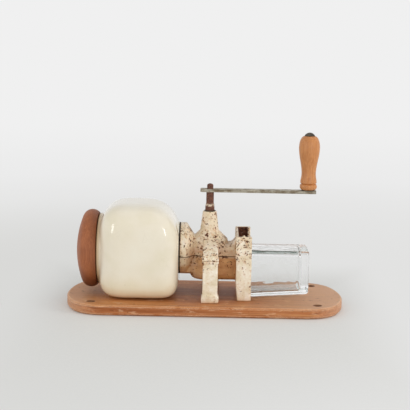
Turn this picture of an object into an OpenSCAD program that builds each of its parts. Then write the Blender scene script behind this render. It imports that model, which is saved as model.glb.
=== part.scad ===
// Wall mount coffee grinder, lying on the back of its board.
// Millimetres. X runs along the board from the lid to the glass, Y across it, Z away from the wall.
// The origin is the middle of the board's back face.

/* [Board] */
// Length of the back board
board_length = 330; // [316:1:360]
// Width of the back board
board_width = 138; // [128:1:150]
// Thickness of the back board
board_thickness = 12; // [10:0.5:16]
// Radius of the bowed ends of the board
board_end_radius = 115; // [95:1:140]
// Radius of the corners of the board
board_corner_radius = 40; // [32:1:46]
// Chamfer round the edges of the board
board_chamfer = 1.8; // [0.5:0.1:2.5]
// Spacing of the wall holes along the board
wall_hole_spacing_x = 264; // [252:1:268]
// Spacing of the wall holes across the board
wall_hole_spacing_y = 100; // [90:1:104]
// Diameter of the wall holes
wall_hole_d = 5.5; // [4:0.5:7]
// Diameter of the countersinks of the wall holes
wall_sink_d = 11; // [9:0.5:13]

/* [Hopper jar] */
// Length of the jar without its neck
jar_length = 93.3; // [84:0.1:96]
// Width of the jar across the board
jar_width = 106; // [100:1:112]
// Distance from the jar's axis to its front
jar_front_reach = 57; // [53:0.5:59]
// Distance from the jar's axis to its back
jar_back_reach = 55; // [52:0.5:58]
// Exponent of the bow of the jar's sides, higher is flatter
jar_side_bow = 5.2; // [4.5:0.1:8]
// Exponent of the bow of the jar's front
jar_front_bow = 3.2; // [3:0.1:5]
// Exponent of the bow of the jar's back
jar_back_bow = 4.6; // [3.5:0.1:7]
// Exponent of the front corners, higher is squarer
jar_front_squareness = 3.4; // [3.2:0.1:6]
// Exponent of the back corners
jar_back_squareness = 5.5; // [4:0.1:7]
// Share of the bow that the jar's flat ends leave standing
jar_end_share = 0.97; // [0.95:0.005:0.98]
// How far the jar's seat stands out round the flange
jar_seat_margin = 0.9; // [0.5:0.1:1.5]
// Thickness of the jar's wall
jar_wall = 5.5; // [4:0.1:7]
// Gap between the jar and the board
jar_clearance = 0.5; // [0.3:0.1:2]
// Outside diameter of the neck
neck_d = 84; // [78:1:88]
// Bore of the neck
neck_bore_d = 68; // [60:1:70]
// How far the neck stands out of the jar
neck_length = 3; // [2:0.1:6]
// Distance of the neck's axis below the jar's
neck_drop = 2; // [0:0.5:3]
// Diameter of the hole from the jar into the funnel
jar_outlet_d = 40; // [34:1:41]
// Thickness of the gasket under the jar
gasket_thickness = 1.3; // [1:0.1:3]

/* [Lid] */
// Diameter of the lid
lid_d = 93; // [90:1:104]
// Thickness of the lid at its middle
lid_thickness = 25.6; // [24:0.1:30]
// Radius of the rounded edge of the lid
lid_edge_radius = 11; // [9:0.5:12]
// Height of the widest point above the lid's flat face
lid_edge_height = 8; // [6:0.5:9]
// Length of the plug below the lid
plug_length = 14; // [10:0.5:18]
// Width of the seal ring on the plug
seal_width = 5; // [3:0.5:7]
// Thickness of the seal ring
seal_thickness = 1.3; // [0.8:0.1:2]

/* [Castings] */
// Place of the spindle along the board
shaft_x = 4.5; // [0:0.5:10]
// Distance of the parting plane below the axis of the jar
parting_drop = 6; // [4:0.5:7]
// Distance from the spindle to the face of the funnel flange
flange_reach = 34.5; // [33:0.5:40]
// Diameter of the funnel flange
flange_d = 61.5; // [60:0.5:66]
// Thickness of the funnel flange
flange_thickness = 7.4; // [6:0.1:9]
// Outside diameter of the funnel where it meets the body
funnel_neck_d = 31.4; // [30:0.1:34]
// Inside diameter of the funnel where it meets the body
funnel_bore_d = 23; // [20:0.5:24]
// Outside diameter of the round body
drum_d = 44; // [42.5:0.5:46]
// Rounding of the lower edge of the body
drum_edge_radius = 4; // [2:0.5:5]
// Height of the body above the parting plane
dome_height = 18; // [16:0.5:21]
// Diameter of the boss at its foot
boss_base_d = 22; // [20:0.5:26]
// Diameter of the boss at its top
boss_top_d = 16.4; // [15.5:0.1:19]
// Height of the boss
boss_height = 22.5; // [18:0.5:28]
// Height of the bean chamber above the parting plane
chamber_height = 16.5; // [14:0.5:18]
// Diameter of the bean chamber
chamber_d = 33; // [31:0.5:34]
// Width of the channel to the glass
outlet_width = 28; // [24:1:30]
// Height of the channel below the burrs
outlet_height = 7; // [5:0.5:9]
// Thickness of the floor of the body
floor_thickness = 4.5; // [3.5:0.5:6]
// Half width of the neck between body and collar
neck_half_width = 20; // [18:0.5:21]
// Height of the neck above the parting plane
neck_rise = 13; // [10:0.5:15]
// Rounding of the neck's long edges
neck_edge_radius = 7; // [4:0.5:8]
// Length of the hollow curve from the neck up to the collar
saddle_length = 8; // [5:0.5:9]
// Height of the hollow curve from the neck up to the collar
saddle_height = 12; // [8:0.5:13]
// Half width of the web under the funnel
web_half_width = 15; // [10:0.5:18]

/* [Legs] */
// Distance of the legs from the spindle, towards the glass
leg_offset = 2; // [0:0.5:4]
// Width of the legs
leg_width = 17.6; // [14:0.2:19]
// Distance of the outer faces of the legs from the middle
leg_reach = 50; // [48:0.5:54]
// Depth of the legs, measured across the board
leg_depth = 14; // [13:0.5:16]
// How far the feet stand out round the legs
foot_flare = 1.4; // [0.6:0.1:2]
// Height of the arched feet
foot_height = 9.5; // [7:0.5:12]
// Thickness of the lug of the front casting on each leg
lug_thickness = 6; // [4:0.5:7]
// How far the clamping pads stand out round the tops of the legs
pad_flare = 0.9; // [0.5:0.1:1.4]
// Height of the clamping pads on each side of the parting plane
pad_height = 2.4; // [1.5:0.1:3]

/* [Collar for the glass] */
// Distance from the spindle to the collar
collar_reach = 32; // [30:0.5:36]
// Length of the collar along the board
collar_length = 17.5; // [17:0.5:20]
// Height of the collar above the board
collar_height = 76.5; // [73:0.5:80]
// Thickness of the collar's wall beside the body
collar_back_wall = 3; // [2.5:0.1:3.5]
// Thickness of the collar's wall beside the glass
collar_front_wall = 3.5; // [2.5:0.1:4]
// Thickness of the side walls of the collar
collar_side_wall = 5; // [4:0.1:6]
// How far the side plates stand out beside the collar
plate_flare = 0.6; // [0.3:0.1:1]
// Height of the nib on top of the near side plate
nib_height = 2.4; // [1:0.1:3]

/* [Glass] */
// Length of the glass
glass_length = 81.5; // [74:0.5:88]
// Width of the glass
glass_width = 50; // [44:1:51]
// Height of the glass at its foot
glass_foot_height = 51.5; // [47:0.5:53]
// Height of the glass at its mouth
glass_mouth_height = 57; // [54:0.5:59]
// Height of the mouth's lower edge above the board
glass_clearance = 1; // [0.6:0.1:3]
// Wall of the glass
glass_wall = 4.5; // [3.5:0.1:6]
// Thickness of the foot of the glass
glass_floor = 9; // [6:0.5:12]
// Rounding of the glass's long edges
glass_edge_radius = 4.5; // [4:0.5:8]
// Thickness of the lips that slide in the collar
lip_thickness = 8.7; // [7:0.1:9.5]
// How far the lips stand out beside the glass
lip_reach = 7.2; // [5:0.1:7.6]
// Height of the lower ends of the lips above the board
lip_height = 12; // [10:0.5:16]

/* [Burrs] */
// Diameter of the outer burr ring
burr_d = 37; // [36:0.5:38]
// Height of the outer burr ring
burr_height = 17.5; // [16:0.5:20]
// Diameter of the mouth of the outer burr
burr_mouth_d = 31; // [28:0.5:32]
// Diameter of the inner burr at its top
cone_top_d = 17; // [16:0.5:18]
// Diameter of the inner burr at its bottom
cone_base_d = 26.4; // [25:0.2:27]
// Gap between the burrs at the coarsest setting
burr_gap = 0.8; // [0.7:0.05:1.2]
// Number of teeth on the inner burr
cone_teeth = 12; // [9:1:14]
// Depth of the teeth of the inner burr
cone_tooth_depth = 2; // [1:0.1:2.4]
// Twist of the teeth from bottom to top, in degrees
cone_twist = 55; // [30:1:80]
// Number of grooves in the outer burr
ring_grooves = 16; // [12:1:20]
// Depth of the grooves in the outer burr
ring_groove_depth = 1; // [0.5:0.1:1.4]
// Diameter of the round keys of the outer burr
key_d = 3; // [2:0.2:3.4]
// Length of the round keys
key_length = 12; // [8:0.5:15]

/* [Spindle] */
// Diameter of the spindle
spindle_d = 9; // [8.8:0.1:10]
// Distance between the spindle's flats
spindle_flats = 8; // [7.6:0.1:8.6]
// Diameter of the tail of the spindle
tail_d = 8; // [7:0.1:8.4]
// Height of the spindle's shoulder above the boss, where the arm sits
spindle_rise = 23.2; // [20:0.2:30]
// Side of the square end under the arm nut
tang_side = 6.2; // [6:0.1:6.3]
// Diameter of the stud that carries the arm nut
stud_d = 5; // [4.5:0.1:5.6]
// Outside diameter of the spindle bush
bush_d = 12.4; // [12:0.1:13]
// Outside diameter of the tail bush
tail_bush_d = 12; // [11:0.1:13]
// Diameter of the cross pin in the inner burr
cross_pin_d = 3; // [2:0.2:3.4]
// Thickness of the drive washer
drive_washer_thickness = 1; // [0.8:0.1:1.6]
// Diameter of the drive washer
drive_washer_d = 13; // [12.8:0.1:16]
// Diameter of the adjusting nut
adjuster_d = 11; // [10.8:0.1:12.4]
// Height of the knurled part of the adjusting nut
adjuster_height = 5; // [4:0.5:7]
// Diameter of the neck of the adjusting nut
adjuster_neck_d = 10.3; // [10:0.1:10.6]
// Height of the neck of the adjusting nut
adjuster_neck_height = 2.6; // [1.5:0.1:4]
// Number of notches round the adjusting nut
adjuster_notches = 12; // [8:1:16]
// Radius of the notches
adjuster_notch_r = 0.7; // [0.5:0.1:1]
// Step from the nut's neck out to the bottom of the notches
adjuster_notch_step = 0.1; // [0.05:0.05:0.25]
// Travel of the inner burr from coarse to fine
adjust_travel = 1.2; // [0.8:0.1:1.4]

/* [Spring] */
// Diameter of the spring's wire
wire_d = 1.4; // [1:0.1:1.8]
// Mean diameter of the spring
coil_d = 14.4; // [13.6:0.1:15]
// Number of turns of the spring
coil_turns = 4.5; // [3.5:0.5:5.5]
// Diameter of the washer above the spring
spring_washer_d = 19; // [17:0.5:22]
// Thickness of the washer above the spring
spring_washer_thickness = 1.5; // [1:0.1:2]

/* [Crank] */
// Distance from the spindle to the handle's pin
crank_radius = 116.4; // [100:0.2:130]
// Width of the arm
arm_width = 12; // [11:0.5:16]
// Thickness of the arm
arm_thickness = 3.5; // [3:0.1:5]
// Length of the arm behind the spindle
arm_tail = 11.6; // [10:0.2:16]
// Length of the arm beyond the handle's pin
arm_nose = 9.4; // [8:0.1:12]
// Rounding of the corners of the arm
arm_corner_radius = 2.5; // [1:0.1:4]
// Diameter of the arm nut
arm_nut_d = 7.4; // [7:0.1:11]
// Height of the arm nut without its dome
arm_nut_height = 4.6; // [4:0.1:7]
// Height of the dome of the arm nut
arm_nut_dome = 1.8; // [1:0.1:2.4]

/* [Handle] */
// Length of the wooden handle
handle_length = 63.8; // [56:0.2:72]
// Diameter of the handle at its base
handle_base_d = 20.4; // [18:0.2:23]
// Diameter of the handle at its waist
handle_waist_d = 17; // [15:0.2:18]
// Greatest diameter of the handle
handle_max_d = 24.8; // [22:0.2:28]
// Height of the bead at the handle's base
handle_bead = 7.2; // [5:0.2:9]
// Height of the bead's greatest diameter above the base
handle_bulge = 3.7; // [2.5:0.1:4]
// How far the bead draws in to the handle's foot
handle_foot = 2.4; // [1:0.1:3]
// Depth of the groove above the bead
handle_groove = 0.9; // [0.4:0.1:1.4]
// Height of the waist above the base
handle_waist_height = 19; // [16:0.5:24]
// Height of the greatest diameter above the base
handle_max_height = 50.2; // [44:0.2:53]
// Diameter of the handle's pin
handle_pin_d = 6; // [5:0.1:7]
// Diameter of the pin's domed head
pin_head_d = 12.4; // [9:0.2:14]
// Height of the pin's domed head
pin_head_height = 3.8; // [2.5:0.1:5]
// Diameter of the washer under the handle
handle_washer_d = 15; // [13:0.5:18]
// Thickness of the washer under the handle
handle_washer_thickness = 0.8; // [0.6:0.1:1.5]

/* [Fasteners] */
// Diameter of the bolts and screws in the board
bolt_d = 5; // [4:0.5:5.5]
// Diameter of their countersunk heads
bolt_head_d = 10; // [8:0.5:11]
// Height of their countersunk heads
bolt_head_height = 2.7; // [2:0.1:3.5]
// How far the through bolts reach into the front casting
bolt_reach = 6; // [4:0.5:7]
// How far the foot screws reach into the collar
foot_screw_reach = 9; // [6:0.5:10]
// Diameter of the jar screws
jar_screw_d = 4; // [3:0.5:4.5]
// Diameter of the circle of jar screws
jar_screw_circle = 52; // [50.5:0.5:53]
// Diameter of the heads of the jar screws
jar_screw_head_d = 7.6; // [6.5:0.2:8]
// Height of the heads of the jar screws
jar_screw_head_height = 2.8; // [2:0.1:3.5]
// How far the jar screws reach into the flange
jar_screw_reach = 5.8; // [4:0.1:6]
// Diameter of the washers of the jar screws
jar_washer_d = 8.6; // [8.2:0.2:9]
// Thickness of the washers of the jar screws
jar_washer_thickness = 1.5; // [1:0.1:2]

/* [Fits] */
// Clearance round pieces that are pressed or screwed in place
seat_fit = 0.03; // [0.02:0.01:0.06]
// Clearance round pieces that turn on each other
running_fit = 0.06; // [0.04:0.01:0.1]
// Clearance between pieces that slide apart or stand face to face
slide_gap = 0.3; // [0.2:0.05:0.4]
// Clearance of bolts in drilled holes
drill_gap = 0.25; // [0.15:0.05:0.4]

/* [Hidden] */
$fn = 48;

// Cuts run this far past the faces that they open
over = 1;
far = 400;

// Heights, from the wall outwards
top_z = board_thickness;
axis_z = top_z + jar_clearance + jar_back_reach;
neck_z = axis_z - neck_drop;
parting_z = axis_z - parting_drop;
burr_base_z = parting_z - burr_height;
channel_z = burr_base_z - outlet_height;
body_base_z = channel_z - floor_thickness;
roof_z = parting_z + chamber_height;
dome_z = parting_z + dome_height;
boss_base_z = dome_z + (drum_d - boss_base_d) / 2;
boss_top_z = boss_base_z + boss_height;
adjuster_z = boss_top_z + drive_washer_thickness;
arm_z = boss_top_z + spindle_rise;
arm_top_z = arm_z + arm_thickness;
handle_z = arm_top_z + handle_washer_thickness + slide_gap;
handle_top_z = handle_z + handle_length;
collar_top_z = top_z + collar_height;

// Places along the board
flange_x = shaft_x - flange_reach;
funnel_end_x = flange_x + flange_thickness + (flange_d - funnel_neck_d) / 2 * 0.66;
jar_end_x = flange_x - gasket_thickness;
jar_start_x = jar_end_x - jar_length;
neck_x = jar_start_x - neck_length;
lid_x = neck_x - slide_gap;
collar_x = shaft_x + collar_reach;
collar_end_x = collar_x + collar_length;
slot_x = collar_x + collar_back_wall;
slot_end_x = collar_end_x - collar_front_wall;
glass_x = slot_end_x - slide_gap - lip_thickness;
handle_x = shaft_x + crank_radius;
leg_x = shaft_x + leg_offset;

// Half widths across the board
leg_y = leg_reach - leg_depth / 2;
window_y = glass_width / 2 + slide_gap * 2;
slot_y = glass_width / 2 + lip_reach + slide_gap;
collar_y = slot_y + collar_side_wall;
foot_screw_y = (window_y + collar_y) / 2;

// The jar's rings
jar_mid_x = (jar_start_x + jar_end_x) / 2;
jar_seat_d = flange_d + 2 * jar_seat_margin;
jar_rings = 20;
jar_sides = 48;

// The cone of the inner burr, and the outer burr that runs parallel to it
cone_height = burr_height - over;
cone_slope = (cone_base_d - cone_top_d) / 2 / cone_height;
throat_height = burr_height / 2;
throat_r = cone_base_d / 2 - cone_slope * throat_height + burr_gap;
cone_top_z = burr_base_z + cone_height;
cross_pin_z = burr_base_z + cross_pin_d + over;

// The spring stands between the cone and the washer under the roof
spring_gap = 0.05;
spring_washer_z = roof_z - spring_washer_thickness;
spring_z = cone_top_z + wire_d / 2 + spring_gap;
spring_height = spring_washer_z - cone_top_z - wire_d - 2 * spring_gap;
spring_rings = 8;
spring_sides = 6;

// Colours
paint = "#efe2c4";
board_wood = "#b07850";
lid_wood = "#8a5334";
handle_wood = "#c98d57";
glaze = "#e6ddbd";
rust = "#6b3a2c";
worn_steel = "#8f8774";
steel = "#9a9a98";
bronze = "#a67c45";
rubber = "#2b2724";
glass_tint = [0.85, 0.9, 0.9, 0.5];

// Points along an arc, first and last included
function arc(centre, radius, from, to, steps) = [
    for (i = [0 : steps])
        let (angle = from + (to - from) * i / steps)
        centre + radius * [cos(angle), sin(angle)]
];

// A rectangle with round corners
function round_rect(x0, x1, y0, y1, radius) = concat(
    arc([x1 - radius, y0 + radius], radius, 270, 360, 6),
    arc([x1 - radius, y1 - radius], radius, 0, 90, 6),
    arc([x0 + radius, y1 - radius], radius, 90, 180, 6),
    arc([x0 + radius, y0 + radius], radius, 180, 270, 6)
);

// A solid through rings of points, with flat ends. The rings run anticlockwise
// for someone who looks back along the loft from its last ring.
module loft(rings) {
    sides = len(rings[0]);
    count = len(rings);
    points = [for (ring = rings) each ring];
    first = [for (j = [0 : sides - 1]) j];
    last = [for (j = [0 : sides - 1]) count * sides - 1 - j];
    walls = [
        for (i = [0 : count - 2], j = [0 : sides - 1])
            let (a = i * sides + j, b = i * sides + (j + 1) % sides)
            each [[a, a + sides, b], [b, a + sides, b + sides]]
    ];
    polyhedron(points, concat([first, last], walls));
}

// Turns a shape that stands on Z so that it points along +X
module along_x(x, y, z) {
    translate([x, y, z])
        rotate([0, 90, 0])
            children();
}

module bore(d, from_z, to_z) {
    translate([0, 0, from_z])
        cylinder(d = d, h = to_z - from_z);
}

module at_shaft() {
    translate([shaft_x, 0, 0])
        children();
}

module both_sides() {
    for (side = [-1, 1])
        scale_y(side)
            children();
}

module scale_y(side) {
    if (side > 0)
        children();
    else
        mirror([0, 1, 0])
            children();
}

module box(x0, x1, y0, y1, z0, z1) {
    translate([x0, y0, z0])
        cube([x1 - x0, y1 - y0, z1 - z0]);
}

// Everything above, or below, the parting plane
module front_half() {
    intersection() {
        children();
        box(-far, far, -far, far, parting_z, far);
    }
}

module rear_half() {
    intersection() {
        children();
        box(-far, far, -far, far, -far, parting_z);
    }
}

// A countersunk screw with its head on the plane Z = 0, grown all round by a gap
module countersunk(length, gap) {
    cylinder(d1 = bolt_head_d + 2 * gap, d2 = bolt_d + 2 * gap, h = bolt_head_height);
    cylinder(d = bolt_d + 2 * gap, h = length);
}

module at_through_bolts() {
    for (side = [-1, 1])
        translate([leg_x, side * leg_y, 0])
            children();
}

module at_foot_screws() {
    for (side = [-1, 1])
        translate([(slot_x + slot_end_x) / 2, side * foot_screw_y, 0])
            children();
}

module at_jar_screws(x) {
    for (angle = [45 : 90 : 315])
        translate([x, jar_screw_circle / 2 * cos(angle), axis_z + jar_screw_circle / 2 * sin(angle)])
            rotate([0, 90, 0])
                children();
}

// Board

function board_ring(inset, z) =
    let (
        end = board_end_radius - inset,
        corner = board_corner_radius - inset,
        end_x = board_length / 2 - board_end_radius,
        corner_y = board_width / 2 - board_corner_radius,
        reach = board_end_radius - board_corner_radius,
        corner_x = end_x + sqrt(reach * reach - corner_y * corner_y),
        turn = atan2(corner_y, corner_x - end_x),
        quarter = concat(
            arc([end_x, 0], end, 0, turn, 6),
            [for (p = arc([corner_x, corner_y], corner, turn, 90, 8))
                if (p[0] < corner_x + corner * cos(turn) - 0.1) p]
        ),
        back = [for (i = [len(quarter) - 1 : -1 : 1]) [-quarter[i][0], quarter[i][1]]],
        half = concat(quarter, back),
        rest = [for (p = half) [-p[0], -p[1]]]
    )
    [for (p = concat(half, [[-end_x - end, 0]], [for (i = [1 : len(rest) - 1]) rest[i]])) [p[0], p[1], z]];

module board_blank() {
    loft([
        board_ring(board_chamfer, 0),
        board_ring(0, board_chamfer),
        board_ring(0, board_thickness - board_chamfer),
        board_ring(board_chamfer, board_thickness)
    ]);
}

module wall_hole() {
    sink = (wall_sink_d - wall_hole_d) / 2;
    bore(wall_hole_d, -over, board_thickness + over);
    translate([0, 0, board_thickness - sink])
        cylinder(d1 = wall_hole_d, d2 = wall_sink_d, h = sink);
    bore(wall_sink_d, board_thickness - seat_fit, board_thickness + over);
}

module back_board() {
    color(board_wood)
        difference() {
            board_blank();
            for (sx = [-1, 1], sy = [-1, 1])
                translate([sx * wall_hole_spacing_x / 2, sy * wall_hole_spacing_y / 2, 0])
                    wall_hole();
            at_through_bolts()
                translate([0, 0, -seat_fit])
                    countersunk(board_thickness + over, drill_gap);
            at_foot_screws()
                translate([0, 0, -seat_fit])
                    countersunk(board_thickness + over, drill_gap);
        }
}

// Castings

module funnel_outside() {
    along_x(flange_x, 0, axis_z)
        rotate_extrude()
            polygon([
                [0, 0],
                [flange_d / 2, 0],
                [flange_d / 2, flange_thickness],
                [funnel_neck_d / 2, funnel_end_x - flange_x],
                [funnel_neck_d / 2, flange_reach],
                [0, flange_reach]
            ]);
}

module funnel_inside() {
    along_x(flange_x, 0, axis_z)
        rotate_extrude()
            polygon([
                [0, -over],
                [jar_outlet_d / 2, -over],
                [jar_outlet_d / 2, 0],
                [funnel_bore_d / 2, funnel_end_x - flange_x],
                [funnel_bore_d / 2, flange_reach - funnel_bore_d / 4],
                [0, flange_reach - funnel_bore_d / 4]
            ]);
}

module flange_holes() {
    at_jar_screws(flange_x - over)
        cylinder(d = jar_screw_d + 2 * seat_fit, h = over + jar_screw_reach + slide_gap);
}

// The cross section of the neck between body and collar, extruded along X
module neck(z0, z1) {
    translate([shaft_x, 0, 0])
        rotate([90, 0, 90])
            linear_extrude(collar_reach)
                polygon(round_rect(-neck_half_width, neck_half_width, z0, z1, neck_edge_radius));
}

// A web under the funnel carries the round of the flange on to the body
module web() {
    intersection() {
        along_x(flange_x, 0, axis_z)
            cylinder(d = flange_d, h = flange_reach);
        box(flange_x, shaft_x, -web_half_width, web_half_width, 0, parting_z);
    }
}

// A hollow curve leads from the neck up to the collar
module saddle() {
    half = neck_half_width - neck_edge_radius;
    foot_z = parting_z + neck_rise;
    steepest = 80;
    translate([0, half, 0])
        rotate([90, 0, 0])
            linear_extrude(2 * half)
                polygon(concat(
                    [[collar_x - saddle_length, foot_z - over], [collar_x, foot_z - over]],
                    [for (a = [steepest : -10 : 0])
                        let (run = 1 - sin(a) / sin(steepest))
                        [collar_x - saddle_length * run, foot_z + saddle_height * (1 - cos(a))]]
                ));
}

module leg() {
    y0 = leg_reach - leg_depth;
    box(leg_x - leg_width / 2, leg_x + leg_width / 2, y0, leg_reach, top_z, parting_z);
    box(leg_x - leg_width / 2, leg_x + leg_width / 2, 0, y0 + over, channel_z + over, parting_z);
    foot();
    pad(parting_z - pad_height);
}

// The leg and the lug meet in pads that stand out all round
module pad(z) {
    half = leg_width / 2 + pad_flare;
    box(leg_x - half, leg_x + half, leg_reach - leg_depth, leg_reach + pad_flare, z, z + pad_height);
}

// The foot has an arched top edge
module foot() {
    half = leg_width / 2 + foot_flare;
    arch = leg_width * 1.3;
    intersection() {
        box(leg_x - half, leg_x + half, leg_reach - leg_depth - foot_flare, leg_reach + foot_flare,
            top_z, top_z + foot_height + over);
        translate([leg_x, 0, top_z + foot_height - arch])
            rotate([-90, 0, 0])
                cylinder(r = arch, h = far, $fn = 96);
    }
}

// The collar's side view, with the slanted corner at its foot
module collar_block() {
    slant = 2;
    slant_height = 20;
    translate([0, collar_y, 0])
        rotate([90, 0, 0])
            linear_extrude(2 * collar_y)
                polygon([
                    [collar_x + slant, top_z],
                    [collar_end_x, top_z],
                    [collar_end_x, collar_top_z],
                    [collar_x, collar_top_z],
                    [collar_x, top_z + slant_height]
                ]);
}

module side_plate() {
    plate = collar_side_wall * 0.7;
    plate_top = collar_top_z - plate_flare;
    box(collar_x + 2, collar_end_x + plate_flare, collar_y - plate, collar_y, top_z, plate_top);
    box(collar_x - plate_flare, collar_end_x, collar_y - plate, collar_y, parting_z, plate_top);
}

module nib() {
    width = collar_length * 0.28;
    translate([(collar_x + collar_end_x) / 2, -slot_y, collar_top_z])
        rotate([90, 0, 0])
            linear_extrude(collar_side_wall * 0.6)
                polygon([[-width / 2, -over], [width / 2, -over], [0, nib_height]]);
}

// The slot takes the lips of the glass, and the window lets its body through
module collar_slot() {
    box(slot_x, slot_end_x, -slot_y, slot_y, top_z + lip_height - slide_gap, far);
    box(slot_x, far, -window_y, window_y, top_z - over, far);
}

module chamber() {
    at_shaft() {
        bore(burr_d + 2 * seat_fit, burr_base_z, parting_z + over);
        bore(cone_base_d + 4 * burr_gap, channel_z, burr_base_z + over);
        bore(tail_bush_d + 2 * seat_fit, body_base_z - over, channel_z + over);
    }
}

module channel() {
    half = outlet_width / 2;
    box(shaft_x, slot_x + over, -half, half, channel_z, burr_base_z);
    box(shaft_x + drum_d / 2 + over, slot_x + over, -half, half, channel_z, parting_z - floor_thickness);
}

module key_holes() {
    for (side = [-1, 1])
        translate([shaft_x, side * burr_d / 2, 0])
            bore(key_d + 2 * seat_fit, parting_z - key_length, parting_z + over);
}

module drum_below() {
    r = drum_d / 2;
    at_shaft()
        rotate_extrude()
            polygon(concat(
                [[0, body_base_z]],
                arc([r - drum_edge_radius, body_base_z + drum_edge_radius], drum_edge_radius, 270, 360, 5),
                [[r, parting_z], [0, parting_z]]
            ));
}

module rear_casting() {
    color(paint)
        difference() {
            union() {
                drum_below();
                rear_half()
                    funnel_outside();
                rear_half()
                    neck(body_base_z, parting_z + 3 * neck_edge_radius);
                web();
                both_sides()
                    leg();
                collar_block();
                both_sides()
                    side_plate();
                nib();
            }
            chamber();
            channel();
            collar_slot();
            key_holes();
            rear_half()
                funnel_inside();
            flange_holes();
            at_through_bolts()
                bore(bolt_d + 2 * drill_gap, top_z - over, parting_z + over);
            at_foot_screws()
                bore(bolt_d + 2 * seat_fit, top_z - over, top_z + foot_screw_reach + slide_gap);
        }
}

// A rib runs from the dome down to the lug on each leg
module lug() {
    half = leg_width / 2;
    lug_top_z = parting_z + lug_thickness;
    pad(parting_z);
    translate([leg_x - half, 0, 0])
        rotate([90, 0, 90])
            linear_extrude(leg_width)
                polygon([
                    [0, parting_z],
                    [leg_reach, parting_z],
                    [leg_reach, lug_top_z],
                    [leg_reach - over, lug_top_z],
                    [leg_reach - 2 * over, lug_top_z + over],
                    [drum_d / 2, dome_z + 2 * over],
                    [0, dome_z + 2 * over]
                ]);
}

module front_casting() {
    color(paint)
        difference() {
            union() {
                at_shaft()
                    rotate_extrude()
                        polygon([
                            [0, parting_z],
                            [drum_d / 2, parting_z],
                            [drum_d / 2, dome_z],
                            [boss_base_d / 2, boss_base_z],
                            [boss_top_d / 2, boss_top_z],
                            [0, boss_top_z]
                        ]);
                front_half()
                    funnel_outside();
                front_half()
                    neck(parting_z - 3 * neck_edge_radius, parting_z + neck_rise);
                saddle();
                both_sides()
                    lug();
            }
            at_shaft() {
                bore(chamber_d, parting_z - over, roof_z);
                bore(bush_d + 2 * seat_fit, roof_z - over, boss_top_z + over);
            }
            front_half()
                funnel_inside();
            flange_holes();
            at_through_bolts()
                bore(bolt_d + 2 * seat_fit, parting_z - over, parting_z + bolt_reach + slide_gap);
        }
}

module through_bolts() {
    color(steel)
        at_through_bolts()
            countersunk(parting_z + bolt_reach, 0);
}

module foot_screws() {
    color(steel)
        at_foot_screws()
            countersunk(top_z + foot_screw_reach, 0);
}

// Jar

function signed_power(value, power) = sign(value) * pow(abs(value), power);

// How much of a half size is left at a place between the jar's middle, 0, and its end, 1
function bowed(place, bow) = pow(1 - pow(abs(place) * jar_end_share, bow), 1 / bow);

// A ring of the jar. Its front and back halves have their own reach and squareness.
function jar_ring(place, inset) =
    let (
        x = jar_mid_x + place * (jar_length / 2 - inset),
        side = (jar_width / 2 - inset) * bowed(place, jar_side_bow),
        front = (jar_front_reach - inset) * bowed(place, jar_front_bow),
        back = (jar_back_reach - inset) * bowed(place, jar_back_bow)
    )
    [
        for (j = [0 : jar_sides - 1])
            let (
                turn = 360 * j / jar_sides,
                power = 2 / (sin(turn) > 0 ? jar_front_squareness : jar_back_squareness),
                reach = sin(turn) > 0 ? front : back
            )
            [x, side * signed_power(cos(turn), power), axis_z + reach * signed_power(sin(turn), power)]
    ];

module jar_shape(inset) {
    loft([for (i = [0 : jar_rings]) jar_ring(sin(180 * i / jar_rings - 90), inset)]);
}

module hopper_jar() {
    color(glaze)
        difference() {
            union() {
                jar_shape(0);
                along_x(neck_x, 0, neck_z)
                    cylinder(d = neck_d, h = neck_length + 2 * jar_wall, $fn = 96);
                along_x(jar_end_x - jar_wall, 0, axis_z)
                    cylinder(d = jar_seat_d, h = jar_wall, $fn = 96);
            }
            jar_shape(jar_wall);
            along_x(neck_x - over, 0, neck_z)
                cylinder(d = neck_bore_d, h = neck_length + 2 * jar_wall + over, $fn = 96);
            along_x(jar_end_x - 2 * jar_wall, 0, axis_z)
                cylinder(d = jar_outlet_d, h = 3 * jar_wall);
            at_jar_screws(jar_end_x - 2 * jar_wall)
                cylinder(d = jar_screw_d + 2 * drill_gap, h = 3 * jar_wall);
        }
}

module jar_gasket() {
    color(rubber)
        difference() {
            along_x(jar_end_x, 0, axis_z)
                cylinder(d = flange_d, h = gasket_thickness);
            along_x(jar_end_x - over, 0, axis_z)
                cylinder(d = jar_outlet_d, h = gasket_thickness + 2 * over);
            at_jar_screws(jar_end_x - over)
                cylinder(d = jar_screw_d + 2 * drill_gap, h = gasket_thickness + 2 * over);
        }
}

module jar_screws() {
    seat_x = jar_end_x - jar_wall - jar_washer_thickness;
    color(steel)
        at_jar_screws(seat_x) {
            translate([0, 0, -jar_screw_head_height])
                cylinder(d = jar_screw_head_d, h = jar_screw_head_height);
            cylinder(d = jar_screw_d, h = flange_x + jar_screw_reach - seat_x);
        }
}

module jar_washers() {
    color(rubber)
        at_jar_screws(jar_end_x - jar_wall - jar_washer_thickness)
            difference() {
                cylinder(d = jar_washer_d, h = jar_washer_thickness);
                translate([0, 0, -over])
                    cylinder(d = jar_screw_d + 2 * seat_fit, h = jar_washer_thickness + 2 * over);
            }
}

// Lid

// The dome runs on smoothly from the rounded edge of the lid
function lid_profile() =
    let (
        edge_r = lid_d / 2 - lid_edge_radius,
        rise = lid_thickness - lid_edge_height,
        dome = (rise * rise + edge_r * edge_r - pow(lid_edge_radius, 2)) / 2 / (rise - lid_edge_radius),
        dome_z0 = lid_thickness - dome,
        meet = atan2(lid_edge_height - dome_z0, edge_r)
    )
    concat(
        [[0, 0]],
        arc([edge_r, lid_edge_height], lid_edge_radius, -asin(lid_edge_height / lid_edge_radius), meet, 14),
        [for (i = [1 : 8]) let (a = meet + (90 - meet) * i / 8) [dome * cos(a), dome_z0 + dome * sin(a)]]
    );

plug_d = neck_bore_d - 2 * (seal_thickness + slide_gap);

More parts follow.
